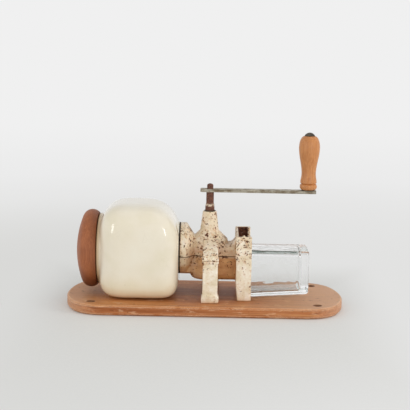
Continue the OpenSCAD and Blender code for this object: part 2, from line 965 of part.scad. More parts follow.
module lid() {
    color(lid_wood)
        translate([lid_x, 0, neck_z])
            rotate([0, -90, 0])
                difference() {
                    union() {
                        rotate_extrude($fn = 96)
                            polygon(lid_profile());
                        translate([0, 0, -plug_length])
                            cylinder(d = plug_d, h = plug_length + over);
                    }
                    seal_groove(seat_fit);
                }
}

// The seal sits in a groove in the middle of the plug
module seal_groove(gap) {
    depth = seal_thickness;
    translate([0, 0, -plug_length / 2 - seal_width / 2 - gap])
        difference() {
            cylinder(d = plug_d + 4 * seal_thickness, h = seal_width + 2 * gap);
            translate([0, 0, -over])
                cylinder(d = plug_d - 2 * depth - 2 * gap, h = seal_width + 2 * over + 2 * gap);
        }
}

module lid_seal() {
    color(rubber)
        translate([lid_x, 0, neck_z])
            rotate([0, -90, 0])
                translate([0, 0, -plug_length / 2 - seal_width / 2])
                    difference() {
                        cylinder(d = neck_bore_d - 2 * running_fit, h = seal_width);
                        translate([0, 0, -over])
                            cylinder(d = plug_d - 2 * seal_thickness, h = seal_width + 2 * over);
                    }
}

// Mill

module outer_burr() {
    groove_r = cone_base_d / 2 + burr_gap;
    color(worn_steel)
        difference() {
            at_shaft()
                translate([0, 0, burr_base_z])
                    rotate_extrude()
                        polygon([
                            [groove_r, 0],
                            [burr_d / 2, 0],
                            [burr_d / 2, burr_height],
                            [burr_mouth_d / 2, burr_height],
                            [throat_r, throat_height]
                        ]);
            key_holes();
            for (i = [0 : ring_grooves - 1])
                at_shaft()
                    rotate([0, 0, (i + 0.5) * 360 / ring_grooves])
                        translate([groove_r, 0, burr_base_z])
                            rotate([0, -atan(cone_slope), 0])
                                translate([0, 0, -over])
                                    cylinder(r = ring_groove_depth, h = throat_height + over, $fn = 4);
        }
}

module burr_keys() {
    color(steel)
        for (side = [-1, 1])
            translate([shaft_x, side * burr_d / 2, parting_z - key_length + seat_fit])
                cylinder(d = key_d, h = key_length - seat_fit);
}

// One tooth of the inner burr has a steep face and a sloping back
function cone_outline() = [
    for (i = [0 : cone_teeth - 1], p = [[0, 1], [0.45, 1], [0.6, 0], [0.92, 0]])
        let (
            angle = 360 * (i + p[0]) / cone_teeth,
            radius = cone_base_d / 2 - (1 - p[1]) * cone_tooth_depth
        )
        radius * [cos(angle), sin(angle)]
];

module inner_burr() {
    color(worn_steel)
        difference() {
            at_shaft()
                translate([0, 0, burr_base_z])
                    linear_extrude(
                        cone_height,
                        twist = cone_twist,
                        scale = cone_top_d / cone_base_d,
                        slices = 8
                    )
                        polygon(cone_outline());
            at_shaft()
                bore(spindle_d + 2 * seat_fit, burr_base_z - over, cone_top_z + over);
            cross_pin(seat_fit, over);
        }
}

module cross_pin(gap, extra) {
    length = cone_base_d - 2 * cone_tooth_depth - 2;
    along_x(shaft_x - length / 2 - extra, 0, cross_pin_z)
        cylinder(d = cross_pin_d + 2 * gap, h = length + 2 * extra);
}

module burr_pin() {
    color(steel)
        cross_pin(0, 0);
}

module spindle() {
    tang_top = arm_top_z - slide_gap;
    color(rust)
        at_shaft()
            difference() {
                union() {
                    bore(tail_d, body_base_z + slide_gap, burr_base_z + over);
                    bore(spindle_d, burr_base_z, arm_z);
                    translate([-tang_side / 2, -tang_side / 2, arm_z - over])
                        cube([tang_side, tang_side, tang_top - arm_z + over]);
                    bore(stud_d, tang_top - over, arm_top_z + arm_nut_height - slide_gap);
                }
                both_sides()
                    translate([-spindle_d, spindle_flats / 2, boss_top_z - adjust_travel - slide_gap])
                        cube([2 * spindle_d, spindle_d, far]);
                translate([-shaft_x, 0, 0])
                    cross_pin(seat_fit, over);
            }
}

module sleeve(outside, inside, from_z, to_z) {
    at_shaft()
        difference() {
            bore(outside, from_z, to_z);
            bore(inside, from_z - over, to_z + over);
        }
}

module spindle_bush() {
    color(bronze)
        sleeve(bush_d, spindle_d + 2 * running_fit, roof_z, boss_top_z);
}

module tail_bush() {
    color(bronze)
        sleeve(tail_bush_d, tail_d + 2 * running_fit, body_base_z, channel_z);
}

// The centre line of the spring, by turns from its lower end
function coil_point(turn) = [
    shaft_x + coil_d / 2 * cos(360 * turn),
    coil_d / 2 * sin(360 * turn),
    spring_z + spring_height * turn / coil_turns
];

function coil_ring(turn) = [
    for (k = [spring_sides - 1 : -1 : 0])
        let (angle = 360 * k / spring_sides, out = wire_d / 2 * cos(angle))
        coil_point(turn) + [out * cos(360 * turn), out * sin(360 * turn), wire_d / 2 * sin(angle)]
];

module burr_spring() {
    count = ceil(coil_turns * spring_rings);
    color(steel)
        loft([for (i = [0 : count]) coil_ring(coil_turns * i / count)]);
    echo(least_spring_gap = spring_height / coil_turns - wire_d);
}

module spring_washer() {
    color(steel)
        sleeve(spring_washer_d, spindle_d + 2 * slide_gap, spring_washer_z, roof_z);
}

module drive_washer() {
    half = spindle_flats / 2 + running_fit;
    hole_r = spindle_d / 2 + running_fit;
    color(steel)
        at_shaft()
            difference() {
                bore(drive_washer_d, boss_top_z, adjuster_z);
                intersection() {
                    bore(2 * hole_r, boss_top_z - over, adjuster_z + over);
                    box(-spindle_d, spindle_d, -half, half, boss_top_z - 2 * over, adjuster_z + 2 * over);
                }
            }
}

module adjusting_nut() {
    notch_x = adjuster_neck_d / 2 + adjuster_notch_step + adjuster_notch_r;
    color(rust)
        at_shaft()
            difference() {
                union() {
                    bore(adjuster_d, adjuster_z, adjuster_z + adjuster_height);
                    bore(adjuster_neck_d, adjuster_z, adjuster_z + adjuster_height + adjuster_neck_height);
                }
                bore(spindle_d + 2 * running_fit, adjuster_z - over, arm_z);
                for (i = [0 : adjuster_notches - 1])
                    rotate([0, 0, i * 360 / adjuster_notches])
                        translate([notch_x, 0, adjuster_z - over])
                            cylinder(r = adjuster_notch_r, h = adjuster_height + 2 * over, $fn = 6);
            }
}

// Crank and handle

module crank_arm() {
    hole = tang_side + 2 * seat_fit;
    color(worn_steel)
        difference() {
            translate([0, 0, arm_z])
                linear_extrude(arm_thickness)
                    polygon(round_rect(shaft_x - arm_tail, handle_x + arm_nose,
                        -arm_width / 2, arm_width / 2, arm_corner_radius));
            translate([shaft_x - hole / 2, -hole / 2, arm_z - over])
                cube([hole, hole, arm_thickness + 2 * over]);
            translate([handle_x, 0, 0])
                bore(handle_pin_d + 2 * seat_fit, arm_z - over, arm_top_z + over);
        }
}

module arm_nut() {
    color(rust)
        at_shaft()
            difference() {
                union() {
                    bore(arm_nut_d, arm_top_z, arm_top_z + arm_nut_height);
                    translate([0, 0, arm_top_z + arm_nut_height])
                        dome(arm_nut_d, arm_nut_dome);
                }
                bore(stud_d + 2 * seat_fit, arm_top_z - over, arm_top_z + arm_nut_height);
            }
}

// The cap of a ball, standing on the plane Z = 0
module dome(d, height) {
    ball_r = (pow(d / 2, 2) + pow(height, 2)) / 2 / height;
    foot = atan2(ball_r - height, d / 2);
    rotate_extrude()
        polygon(concat(
            [[0, 0]],
            [for (i = [0 : 6])
                let (a = foot + (90 - foot) * i / 6)
                [ball_r * cos(a), ball_r * (sin(a) - 1) + height]]
        ));
}

module handle_pin() {
    color(steel)
        translate([handle_x, 0, 0]) {
            bore(handle_pin_d, arm_z, handle_top_z + slide_gap + over / 2);
            translate([0, 0, handle_top_z + slide_gap])
                dome(pin_head_d, pin_head_height);
        }
}

module handle_washer() {
    color(steel)
        translate([handle_x, 0, 0])
            difference() {
                bore(handle_washer_d, arm_top_z, arm_top_z + handle_washer_thickness);
                bore(handle_pin_d + 2 * seat_fit, arm_z, handle_z);
            }
}

// Eases from one radius to the next between two heights, flat at both ends
function ease(r0, r1, z0, z1, steps) = [
    for (i = [0 : steps])
        let (share = i / steps)
        [r0 + (r1 - r0) * (1 - cos(180 * share)) / 2, z0 + (z1 - z0) * share]
];

function handle_profile() =
    let (
        base_r = handle_base_d / 2,
        waist_r = handle_waist_d / 2,
        max_r = handle_max_d / 2,
        crown = handle_length - handle_max_height,
        tip_r = pin_head_d / 2,
        lip = handle_bead - handle_groove
    )
    concat(
        [[0, 0]],
        [for (a = [0 : 18 : 90]) [base_r - handle_foot * (1 - sin(a)), handle_bulge * (1 - cos(a))]],
        [for (a = [30 : 30 : 60])
            [base_r - handle_groove * (1 - cos(a)), handle_bulge + (lip - handle_bulge) * sin(a)]],
        [[base_r - 2 * handle_groove, handle_bead]],
        ease(base_r - handle_groove / 2, waist_r, handle_bead + handle_groove, handle_waist_height, 8),
        [for (p = ease(waist_r, max_r, handle_waist_height, handle_max_height, 12))
            if (p[1] > handle_waist_height) p],
        [for (a = [15 : 15 : 75]) [tip_r + (max_r - tip_r) * cos(a), handle_max_height + crown * sin(a)]],
        [[tip_r, handle_length], [0, handle_length]]
    );

module handle_knob() {
    color(handle_wood)
        translate([handle_x, 0, handle_z])
            difference() {
                rotate_extrude()
                    polygon(handle_profile());
                bore(handle_pin_d + 2 * running_fit, -over, handle_length + over);
            }
}

// Glass

// A ring of the glass at a place along it, set in from its outside
function glass_ring(x, inset) =
    let (
        share = (x - glass_x) / glass_length,
        height = glass_mouth_height + (glass_foot_height - glass_mouth_height) * share,
        z1 = top_z + glass_clearance + glass_mouth_height
    )
    [for (p = round_rect(inset - glass_width / 2, glass_width / 2 - inset, z1 - height + inset, z1 - inset,
        glass_edge_radius - inset / 2)) [x, p[0], p[1]]];

module glass_outside() {
    bevel = glass_wall / 3;
    loft([
        glass_ring(glass_x, 0),
        glass_ring(glass_x + glass_length - bevel, 0),
        glass_ring(glass_x + glass_length, bevel)
    ]);
}

module glass_inside() {
    bevel = glass_wall / 3;
    loft([
        glass_ring(glass_x - over, glass_wall),
        glass_ring(glass_x + glass_length - glass_floor - bevel, glass_wall),
        glass_ring(glass_x + glass_length - glass_floor, glass_wall + bevel)
    ]);
}

module glass_cup() {
    lip_top_z = top_z + glass_clearance + glass_mouth_height;
    color(glass_tint)
        difference() {
            union() {
                glass_outside();
                both_sides()
                    box(glass_x, glass_x + lip_thickness, glass_width / 2 - glass_wall / 2,
                        glass_width / 2 + lip_reach, top_z + lip_height, lip_top_z - glass_edge_radius);
            }
            glass_inside();
        }
}

back_board();
rear_casting();
front_casting();
through_bolts();
foot_screws();
hopper_jar();
jar_gasket();
jar_screws();
jar_washers();
lid();
lid_seal();
outer_burr();
burr_keys();
inner_burr();
burr_pin();
spindle();
spindle_bush();
tail_bush();
burr_spring();
spring_washer();
drive_washer();
adjusting_nut();
crank_arm();
arm_nut();
handle_pin();
handle_washer();
handle_knob();
glass_cup();
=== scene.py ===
import math

import bpy
from mathutils import Matrix, Vector


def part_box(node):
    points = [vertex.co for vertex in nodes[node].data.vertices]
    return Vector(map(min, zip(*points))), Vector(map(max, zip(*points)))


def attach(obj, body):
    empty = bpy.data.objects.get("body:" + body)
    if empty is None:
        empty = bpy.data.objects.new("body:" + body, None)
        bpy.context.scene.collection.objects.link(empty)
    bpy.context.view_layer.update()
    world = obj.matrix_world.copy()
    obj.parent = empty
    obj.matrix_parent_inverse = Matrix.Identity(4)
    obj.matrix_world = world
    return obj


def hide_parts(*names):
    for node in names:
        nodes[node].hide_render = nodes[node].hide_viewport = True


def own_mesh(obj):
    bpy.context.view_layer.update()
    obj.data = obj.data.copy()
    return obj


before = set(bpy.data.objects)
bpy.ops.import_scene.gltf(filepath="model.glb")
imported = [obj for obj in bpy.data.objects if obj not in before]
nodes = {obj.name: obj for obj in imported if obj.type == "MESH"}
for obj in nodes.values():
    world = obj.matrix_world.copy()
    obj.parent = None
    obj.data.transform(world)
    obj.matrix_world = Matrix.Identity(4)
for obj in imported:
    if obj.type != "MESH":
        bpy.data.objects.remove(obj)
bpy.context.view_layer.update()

MM = 0.001

# Heights over the back of the board, in millimetres: the jar's axis and the castings' parting line
AXIS_Z = 67.5
SEAM_Z = 61.5


def rgb(text):
    """A colour written as #rrggbb, as the linear values that sockets hold."""
    parts = [int(text[i:i + 2], 16) / 255 for i in (1, 3, 5)]
    return [c / 12.92 if c <= 0.04045 else ((c + 0.055) / 1.055) ** 2.4 for c in parts] + [1.0]


class Nodes:
    """Adds nodes to a tree. Most methods give back the socket that holds the result."""

    def __init__(self, tree):
        self.tree = tree

    def put(self, socket, value):
        """Links the value where it is a socket itself, and sets it where it is plain."""
        if isinstance(value, bpy.types.NodeSocket):
            self.tree.links.new(value, socket)
        else:
            socket.default_value = value

    def node(self, kind, inputs=None, **settings):
        made = self.tree.nodes.new("ShaderNode" + kind)
        for key, value in settings.items():
            setattr(made, key, value)
        for key, value in (inputs or {}).items():
            self.put(made.inputs[key], value)
        return made

    def math(self, operation, *values):
        return self.node("Math", dict(enumerate(values)), operation=operation).outputs[0]

    def chain(self, operation, values):
        """The values joined two by two, from the first to the last."""
        total = values[0]
        for value in values[1:]:
            total = self.math(operation, total, value)
        return total

    def add(self, *values):
        return self.chain("ADD", values)

    def times(self, *values):
        return self.chain("MULTIPLY", values)

    def most(self, *values):
        return self.chain("MAXIMUM", values)

    def fade(self, value, low, high, floor=0.0, top=1.0):
        """An eased step from floor, at low, to top, at high. Low may be the larger one."""
        ends = {"Value": value, "From Min": low, "From Max": high, "To Min": floor, "To Max": top}
        return self.node("MapRange", ends, interpolation_type="SMOOTHSTEP").outputs[0]

    def mix(self, share, a, b):
        return self.node("Mix", {0: share, 6: a, 7: b}, data_type="RGBA").outputs[2]

    def ramp(self, value, *stops):
        made = self.node("ValToRGB", {0: value})
        points = made.color_ramp.elements
        while len(points) < len(stops):
            points.new(0.5)
        for point, (where, colour) in zip(points, stops):
            point.position = where
            point.color = rgb(colour)
        return made.outputs[0]

    def seen_directly(self):
        """1 for what the eye, a mirror or a glass shows; 0 for the light that falls on the object."""
        rays = self.node("LightPath").outputs
        return self.most(rays["Is Camera Ray"], rays["Is Glossy Ray"], rays["Is Transmission Ray"])


class Look(Nodes):
    """A material in the making, with patterns laid out in the millimetres of the shared frame."""

    def __init__(self, name, **plain):
        self.mat = bpy.data.materials.new(name)
        self.mat.use_nodes = True
        super().__init__(self.mat.node_tree)
        self.shader = self.tree.nodes["Principled BSDF"]
        self.place = self.node("TexCoord").outputs["Object"]
        for key, value in plain.items():
            self.shader.inputs[key.replace("_", " ")].default_value = value

    def axes(self):
        """X, Y and Z in millimetres."""
        scaled = self.node("VectorMath", {0: self.place, "Scale": 1 / MM}, operation="SCALE")
        return self.node("SeparateXYZ", {0: scaled.outputs[0]}).outputs

    def spread(self, size, seed=0.0):
        """Places counted in steps of size, in millimetres along X, Y and Z."""
        inputs = {
            "Vector": self.place,
            "Scale": [1 / (MM * s) for s in size],
            "Location": (seed, 1.7 * seed, 2.3 * seed),
        }
        return self.node("Mapping", inputs).outputs[0]

    def noise(self, size, detail=3.0, rough=0.55, twist=0.0, seed=0.0):
        """Cloudy noise about 0.5. Size is its grain in millimetres, one for all axes or one for each."""
        size = size if isinstance(size, tuple) else (size, size, size)
        inputs = {
            "Vector": self.spread(size, seed),
            "Scale": 1.0,
            "Detail": detail,
            "Roughness": rough,
            "Distortion": twist,
        }
        return self.node("TexNoise", inputs).outputs[0]

    def edges(self, radius):
        """1 where the surface turns sharply within radius millimetres."""
        soft = self.node("Bevel", {"Radius": radius * MM}, samples=4).outputs[0]
        hard = self.node("NewGeometry").outputs["Normal"]
        both = {0: soft, 1: hard}
        turn = self.node("VectorMath", both, operation="DOT_PRODUCT").outputs["Value"]
        return self.fade(turn, 0.995, 0.86)

    def hollows(self, reach):
        """1 deep in a corner, 0 in the open, looking reach millimetres about."""
        seen = self.node("AmbientOcclusion", {"Distance": reach * MM}, samples=6)
        return self.fade(seen.outputs["AO"], 0.9, 0.35)

    def bump(self, height, depth, under=None):
        """A normal from a height of 0 to 1, which stands for depth millimetres."""
        made = self.node("Bump", {"Height": height, "Distance": depth * MM, "Strength": 1.0})
        if under is not None:
            self.put(made.inputs["Normal"], under)
        return made.outputs[0]

    def done(self, colour, roughness, normal=None, **others):
        self.put(self.shader.inputs["Base Color"], colour)
        self.put(self.shader.inputs["Roughness"], roughness)
        if normal is not None:
            self.put(self.shader.inputs["Normal"], normal)
        for key, value in others.items():
            self.put(self.shader.inputs[key.replace("_", " ")], value)
        return self.mat

    def give_way(self, share, other):
        """Shows another shader in the place of this material's own, by its share."""
        both = self.node("MixShader", {0: share, 1: self.shader.outputs[0], 2: other})
        self.put(self.tree.nodes["Material Output"].inputs["Surface"], both.outputs[0])
        return self.mat


# Woods

def wood(name, along, ring, pith, colours, seed, gloss, shine=0.5, figure=1.0, marks=None):
    """Wood with its fibres along one axis, yearly rings about a pith and fine pores."""
    m = Look(name, Specular_IOR_Level=shine)
    dark, mid, light, pore = colours
    # Rings count for less along the fibres, and a wave texture of scale 1 repeats every 0.314
    along_rings, wave_step = 0.13, 0.314

    def fibre(length, width):
        return tuple(length if axis == along else width for axis in range(3))

    rings_at = {
        "Vector": m.place,
        "Scale": [value / MM for value in fibre(along_rings, 1)],
        "Location": [-value for value in pith],
    }
    bands = {
        "Vector": m.node("Mapping", rings_at).outputs[0],
        "Scale": wave_step / ring,
        "Distortion": 4.2,
        "Detail": 2.0,
        "Detail Scale": 0.7,
        "Detail Roughness": 0.5,
    }
    years = m.node("TexWave", bands, wave_type="RINGS", rings_direction="XYZ"[along]).outputs[1]
    late = m.fade(years, 0.55, 1.0)
    streaks = m.noise(fibre(75, 1.1), 4.0, 0.6, seed=seed)
    broad = m.noise(fibre(160, 14), 2.0, seed=seed + 3)
    hairs = m.noise(fibre(22, 0.35), 2.0, 0.5, seed=seed + 5)
    pores = m.fade(hairs, 0.62, 0.72)
    colour = m.ramp(streaks, (0.3, dark), (0.5, mid), (0.72, light))
    colour = m.mix(m.times(late, 0.45 * figure), colour, rgb(dark))
    colour = m.mix(m.fade(broad, 0.4, 0.75, 0.0, 0.5), colour, rgb(light))
    colour = m.mix(m.times(pores, 0.55 * figure), colour, rgb(pore))
    roughness = m.add(gloss, m.times(streaks, 0.16), m.times(pores, 0.2))
    if marks:
        colour, roughness = marks(m, colour, roughness)
    height = m.add(m.times(streaks, 0.35), m.times(pores, -0.9), m.times(late, 0.25))
    return m.done(colour, roughness, m.bump(height, 0.09))


def board_marks(m, colour, roughness):
    """Bands of figure, a top face lightened as painted light with a painted sheen to the right, rubbed edges
    with a painted highlight, scuffs and dents, and dirt round the wall holes.
    """
    hole_x, hole_y = 132.0, 50.0
    x, y, z = m.axes()
    long = m.math("ABSOLUTE", x)
    wide = m.math("ABSOLUTE", y)
    bands = m.noise((150, 22, 2.4), 3.0, 0.6, 0.3, seed=3.0)
    colour = m.mix(m.fade(bands, 0.5, 0.68, 0.0, 0.6), colour, rgb("#7a3f1c"))
    colour = m.mix(m.fade(bands, 0.47, 0.3, 0.0, 0.6), colour, rgb("#d09461"))
    # Painted light: the top face is lightened, most on the left where the jar and lid shade it, and paled on
    # the right as a painted sheen
    top = m.fade(z, 10.4, 11.9)
    colour = m.mix(m.times(top, m.fade(x, -20, -110, 0.22, 0.5)), colour, rgb("#d79658"))
    colour = m.mix(m.times(top, m.fade(x, 30, 120, 0.0, 0.4)), colour, rgb("#e0b896"))
    colour = m.mix(m.fade(long, 115, 160, 0.0, 0.38), colour, rgb("#d9b090"))
    scuffs = m.fade(m.noise((13, 14, 2.6), 4.0, 0.62, seed=2.0), 0.55, 0.68)
    colour = m.mix(m.times(scuffs, 0.55), colour, rgb("#d8ac86"))
    dents = m.fade(m.noise((6, 6, 3), 4.0, 0.65, seed=6.0), 0.62, 0.7)
    colour = m.mix(m.times(dents, 0.7), colour, rgb("#53290f"))
    # Edges paled partly by real rubbing and partly as a painted highlight
    rubbed_and_highlit = m.times(m.edges(2.4), m.fade(m.noise(10, 3.0, seed=8.0), 0.3, 0.55))
    colour = m.mix(m.times(rubbed_and_highlit, 0.9), colour, rgb("#e6c2a0"))
    from_x = m.math("SUBTRACT", long, hole_x)
    from_y = m.math("SUBTRACT", wide, hole_y)
    away = m.math("SQRT", m.add(m.times(from_x, from_x), m.times(from_y, from_y)))
    colour = m.mix(m.fade(away, 6.0, 4.8, 0.0, 0.7), colour, rgb("#3c1e10"))
    return colour, m.add(roughness, m.times(scuffs, 0.12))


def lid_marks(m, colour, roughness):
    """Handling has darkened the lid in patches; painted shade darkens it below and on its inner side."""
    x, _, z = m.axes()
    worn = m.fade(m.noise(16, 3.0, seed=4.0), 0.45, 0.7)
    colour = m.mix(m.times(worn, 0.3), colour, rgb("#7d4428"))
    # Painted shade: darker below, towards the board, and on the inner side that turns towards the jar
    shaded = m.most(m.fade(z, 54, 22, 0.0, 0.72), m.fade(x, -141, -128, 0.0, 0.3))
    colour = m.mix(shaded, colour, rgb("#50240d"))
    specks = m.fade(m.noise(1.7, 2.0, seed=5.0), 0.7, 0.76)
    return m.mix(m.times(specks, 0.5), colour, rgb("#5a2e1a")), roughness


# Paint, glaze and glass

def cast_paint():
    """Cream paint on cast iron, chipped to the rust, and tan below and just above the parting line and in the
    hollows, partly from grime and partly as painted shade.
    """
    m = Look("chipped_cream_paint")
    x, y, z = m.axes()
    wide = m.math("ABSOLUTE", y)
    cloud = m.noise(11, 4.0, 0.6, seed=1.0)
    core_body = m.fade(wide, 37, 31)
    colour = m.ramp(cloud, (0.3, "#d6c4a2"), (0.5, "#e7d9c0"), (0.7, "#f6eee0"))

    # Grime stains mixed with painted shade and painted bounce from the board
    tan = m.ramp(m.noise((14, 14, 7), 3.0, seed=12.0), (0.35, "#bb7d42"), (0.65, "#d8a568"))
    lower = m.most(m.fade(x, -34, 4, 0.05, 0.95), m.fade(z, 55, 48, 0.0, 0.75))
    under = m.times(core_body, m.fade(z, 63, 58), lower)
    above = m.times(
        core_body,
        m.fade(cloud, 0.3, 0.6),
        m.fade(x, -26, -16, 0.2, 1.0),
        m.fade(z, 78, 67, 0.15, 0.6),
    )
    # The tan stands for grime and also for painted shade and the board's painted bounce, under and just above
    # the parting line and in the hollows
    grime_and_shade = m.most(under, above, m.times(m.hollows(9), 0.45))
    colour = m.mix(grime_and_shade, colour, tan)

    # Chips in three sizes, more of them higher up and along the edges
    density = m.add(
        m.fade(z, 40, 66, 0.12, 0.75),
        m.fade(m.noise(14, 2.0, seed=9.0), 0.38, 0.64, -0.4, 0.35),
        m.times(m.edges(1.4), 0.25),
    )
    spots = []
    for size, seed, limit in ((6.4, 3.0, 0.725), (3.6, 7.0, 0.697), (2.2, 11.0, 0.704)):
        blot = m.noise(size, 2.5, 0.52, 0.2, seed=seed)
        spots.append(m.math("SUBTRACT", m.add(blot, m.times(density, 0.085)), limit))
    depth = m.most(*spots)
    halo = m.times(m.fade(depth, -0.12, -0.01), m.fade(m.noise(5, 3.0, seed=15.0), 0.35, 0.6))
    mottle = m.times(m.fade(m.noise(2.6, 4.0, 0.65, seed=16.0), 0.5, 0.68), m.fade(density, 0.0, 1.0))

    # Bare iron: the chips, the slot of the collar and the parting line
    slot = m.times(
        m.fade(x, 38.4, 39.3),
        m.fade(x, 51.6, 50.7),
        m.fade(wide, 33.6, 32.7),
        m.fade(z, 12, 14),
        m.fade(m.noise(5, 4.0, 0.6, seed=18.0), 0.28, 0.42, 0.6, 1.0),
    )
    from_seam = m.math("ABSOLUTE", m.math("SUBTRACT", z, SEAM_Z))
    seam = m.times(m.fade(from_seam, 0.8, 0.3), core_body, m.fade(x, 37, 36))
    bare = m.most(m.fade(depth, 0.0, 0.015), slot, m.times(seam, 0.65))
    grain = m.noise(0.9, 4.0, 0.65, seed=5.0)
    rust = m.ramp(grain, (0.32, "#2e170b"), (0.5, "#532a14"), (0.7, "#94562a"))

    colour = m.mix(m.times(mottle, 0.48), colour, rgb("#d8a06a"))
    colour = m.mix(m.times(halo, 0.5), colour, rgb("#c4864c"))
    colour = m.mix(bare, colour, rust)
    roughness = m.add(0.4, m.times(cloud, 0.14), m.times(bare, 0.3))
    lumps = m.bump(m.noise(5.5, 3.0, seed=4.0), 0.6)
    height = m.add(
        m.times(m.noise(1.5, 3.0, 0.6, seed=2.0), 0.3),
        m.times(bare, -1.0),
        m.times(bare, grain, 0.6),
        m.times(mottle, -0.2),
    )
    return m.done(colour, roughness, m.bump(height, 0.3, lumps))


def glaze():
    """Thick cream glaze on stoneware, faintly crazed, with a painted warm reflection of the board low down,
    and thin and biscuit coloured at the rim, where painted shade darkens it too.
    """
    m = Look("cream_glaze", Coat_Weight=0.6, Coat_Roughness=0.05)
    x, _, z = m.axes()
    cloud = m.noise(34, 3.0, seed=1.0)
    colour = m.ramp(cloud, (0.3, "#e2d9c2"), (0.5, "#e6ddca"), (0.72, "#e9e2d1"))
    # Painted reflection: warmer towards the bottom, as the board's colour bounced onto the glaze
    colour = m.mix(m.fade(z, 52, 14, 0.0, 0.4), colour, rgb("#e3d1a4"))
    cells = {"Vector": m.spread((9, 9, 9)), "Scale": 1.0}
    crack = m.node("TexVoronoi", cells, feature="DISTANCE_TO_EDGE").outputs[0]
    crazing = m.times(m.fade(crack, 0.018, 0.004), m.fade(m.noise(26, 2.0, seed=6.0), 0.5, 0.65))
    colour = m.mix(m.times(crazing, 0.10), colour, rgb("#8a6d48"))
    specks = m.fade(m.noise(1.6, 1.0, seed=3.0), 0.80, 0.83)
    colour = m.mix(m.times(specks, 0.6), colour, rgb("#7a5a38"))
    # Towards the neck the glaze is thin and biscuit coloured; the yellow-brown there also stands for painted
    # shade on the neck
    rim = m.fade(x, -119.5, -127.0)
    colour = m.mix(m.times(rim, 0.8), colour, rgb("#b8935a"))
    roughness = m.add(0.13, m.times(cloud, 0.08), m.times(rim, 0.35))
    wave = m.bump(m.noise(13, 2.0, seed=2.0), 0.10)
    return m.done(colour, roughness, m.bump(crazing, -0.02, wave))


def glass():
    """Thick pressed glass with a wavy skin. Lamp light and rays that go round in it pass straight through."""
    m = Look("pressed_glass", Transmission_Weight=1.0, IOR=1.5)
    most_turns = 4.5
    wave = m.noise((20, 9, 9), 2.0, seed=3.0)
    film = m.fade(m.noise(15, 4.0, 0.65, seed=5.0), 0.5, 0.8)
    colour = m.mix(film, rgb("#fefefe"), rgb("#f9f9f7"))
    m.done(colour, m.times(film, 0.06), m.bump(wave, 0.35))
    rays = m.node("LightPath").outputs
    passing = m.most(rays["Is Shadow Ray"], m.math("GREATER_THAN", rays["Ray Depth"], most_turns))
    tint = m.mix(rays["Is Shadow Ray"], rgb("#d0d6d3"), rgb("#f4f7f6"))
    return m.give_way(passing, m.node("BsdfTransparent", {"Color": tint}).outputs[0])


# Metals and rubber

def rusted(name, colours, size, depth, metallic, splash=None):
    """Iron under a granular crust of rust, with remains of paint in a band of heights."""
    m = Look(name, Metallic=metallic)
    dark, mid, light = colours
    crust = m.noise(size, 5.0, 0.68, seed=1.0)
    patch = m.noise(size * 4, 3.0, seed=2.0)
    pits = m.fade(m.noise(size * 0.6, 2.0, seed=4.0), 0.6, 0.72)
    colour = m.ramp(crust, (0.3, dark), (0.5, mid), (0.72, light))
    colour = m.mix(m.fade(patch, 0.45, 0.7, 0.0, 0.5), colour, rgb(mid))
    colour = m.mix(m.times(pits, 0.7), colour, rgb(dark))
    if splash:
        low, high = splash
        _, _, z = m.axes()
        band = m.times(m.fade(z, low, low + 1), m.fade(z, high, high - 1))
        flakes = m.times(band, m.fade(m.noise(2.2, 3.0, 0.6, seed=6.0), 0.43, 0.56))
        colour = m.mix(m.times(flakes, 0.85), colour, rgb("#e8d6bd"))
    height = m.add(crust, m.times(pits, -0.8))
    return m.done(colour, m.add(0.62, m.times(crust, 0.25)), m.bump(height, depth))


def metal(name, colours, roughness, brushed, tarnish, seed=0.0):
    """Metal with drawn lines, a cloudy tarnish and specks of rust."""
    m = Look(name)
    dark, light, dull = colours
    lines = m.noise(brushed, 4.0, 0.6, seed=seed)
    cloud = m.noise(9, 4.0, 0.62, seed=seed + 2)
    worn = m.fade(cloud, 0.4, 0.68)
    spots = m.times(m.fade(m.noise(2.2, 3.0, 0.6, seed=seed + 4), 0.60, 0.70), tarnish)
    colour = m.ramp(lines, (0.3, dark), (0.7, light))
    colour = m.mix(m.times(worn, tarnish), colour, rgb(dull))
    colour = m.mix(spots, colour, rgb("#5c371f"))
    rough = m.add(roughness, m.times(lines, 0.15), m.times(worn, 0.2 * tarnish), m.times(spots, 0.3))
    bare = m.math("SUBTRACT", 1.0, m.most(spots, m.times(worn, 0.6 * tarnish)))
    height = m.add(m.times(lines, 0.5), m.times(spots, 0.8))
    return m.done(colour, rough, m.bump(height, 0.06), Metallic=bare)


def rubber():
    """Perished black rubber with a dusty bloom."""
    m = Look("black_rubber")
    dust = m.noise(3, 4.0, 0.6)
    colour = m.ramp(dust, (0.35, "#1d1611"), (0.7, "#3a2d23"))
    return m.done(colour, m.add(0.65, m.times(dust, 0.2)), m.bump(m.noise(0.7, 3.0), 0.1))


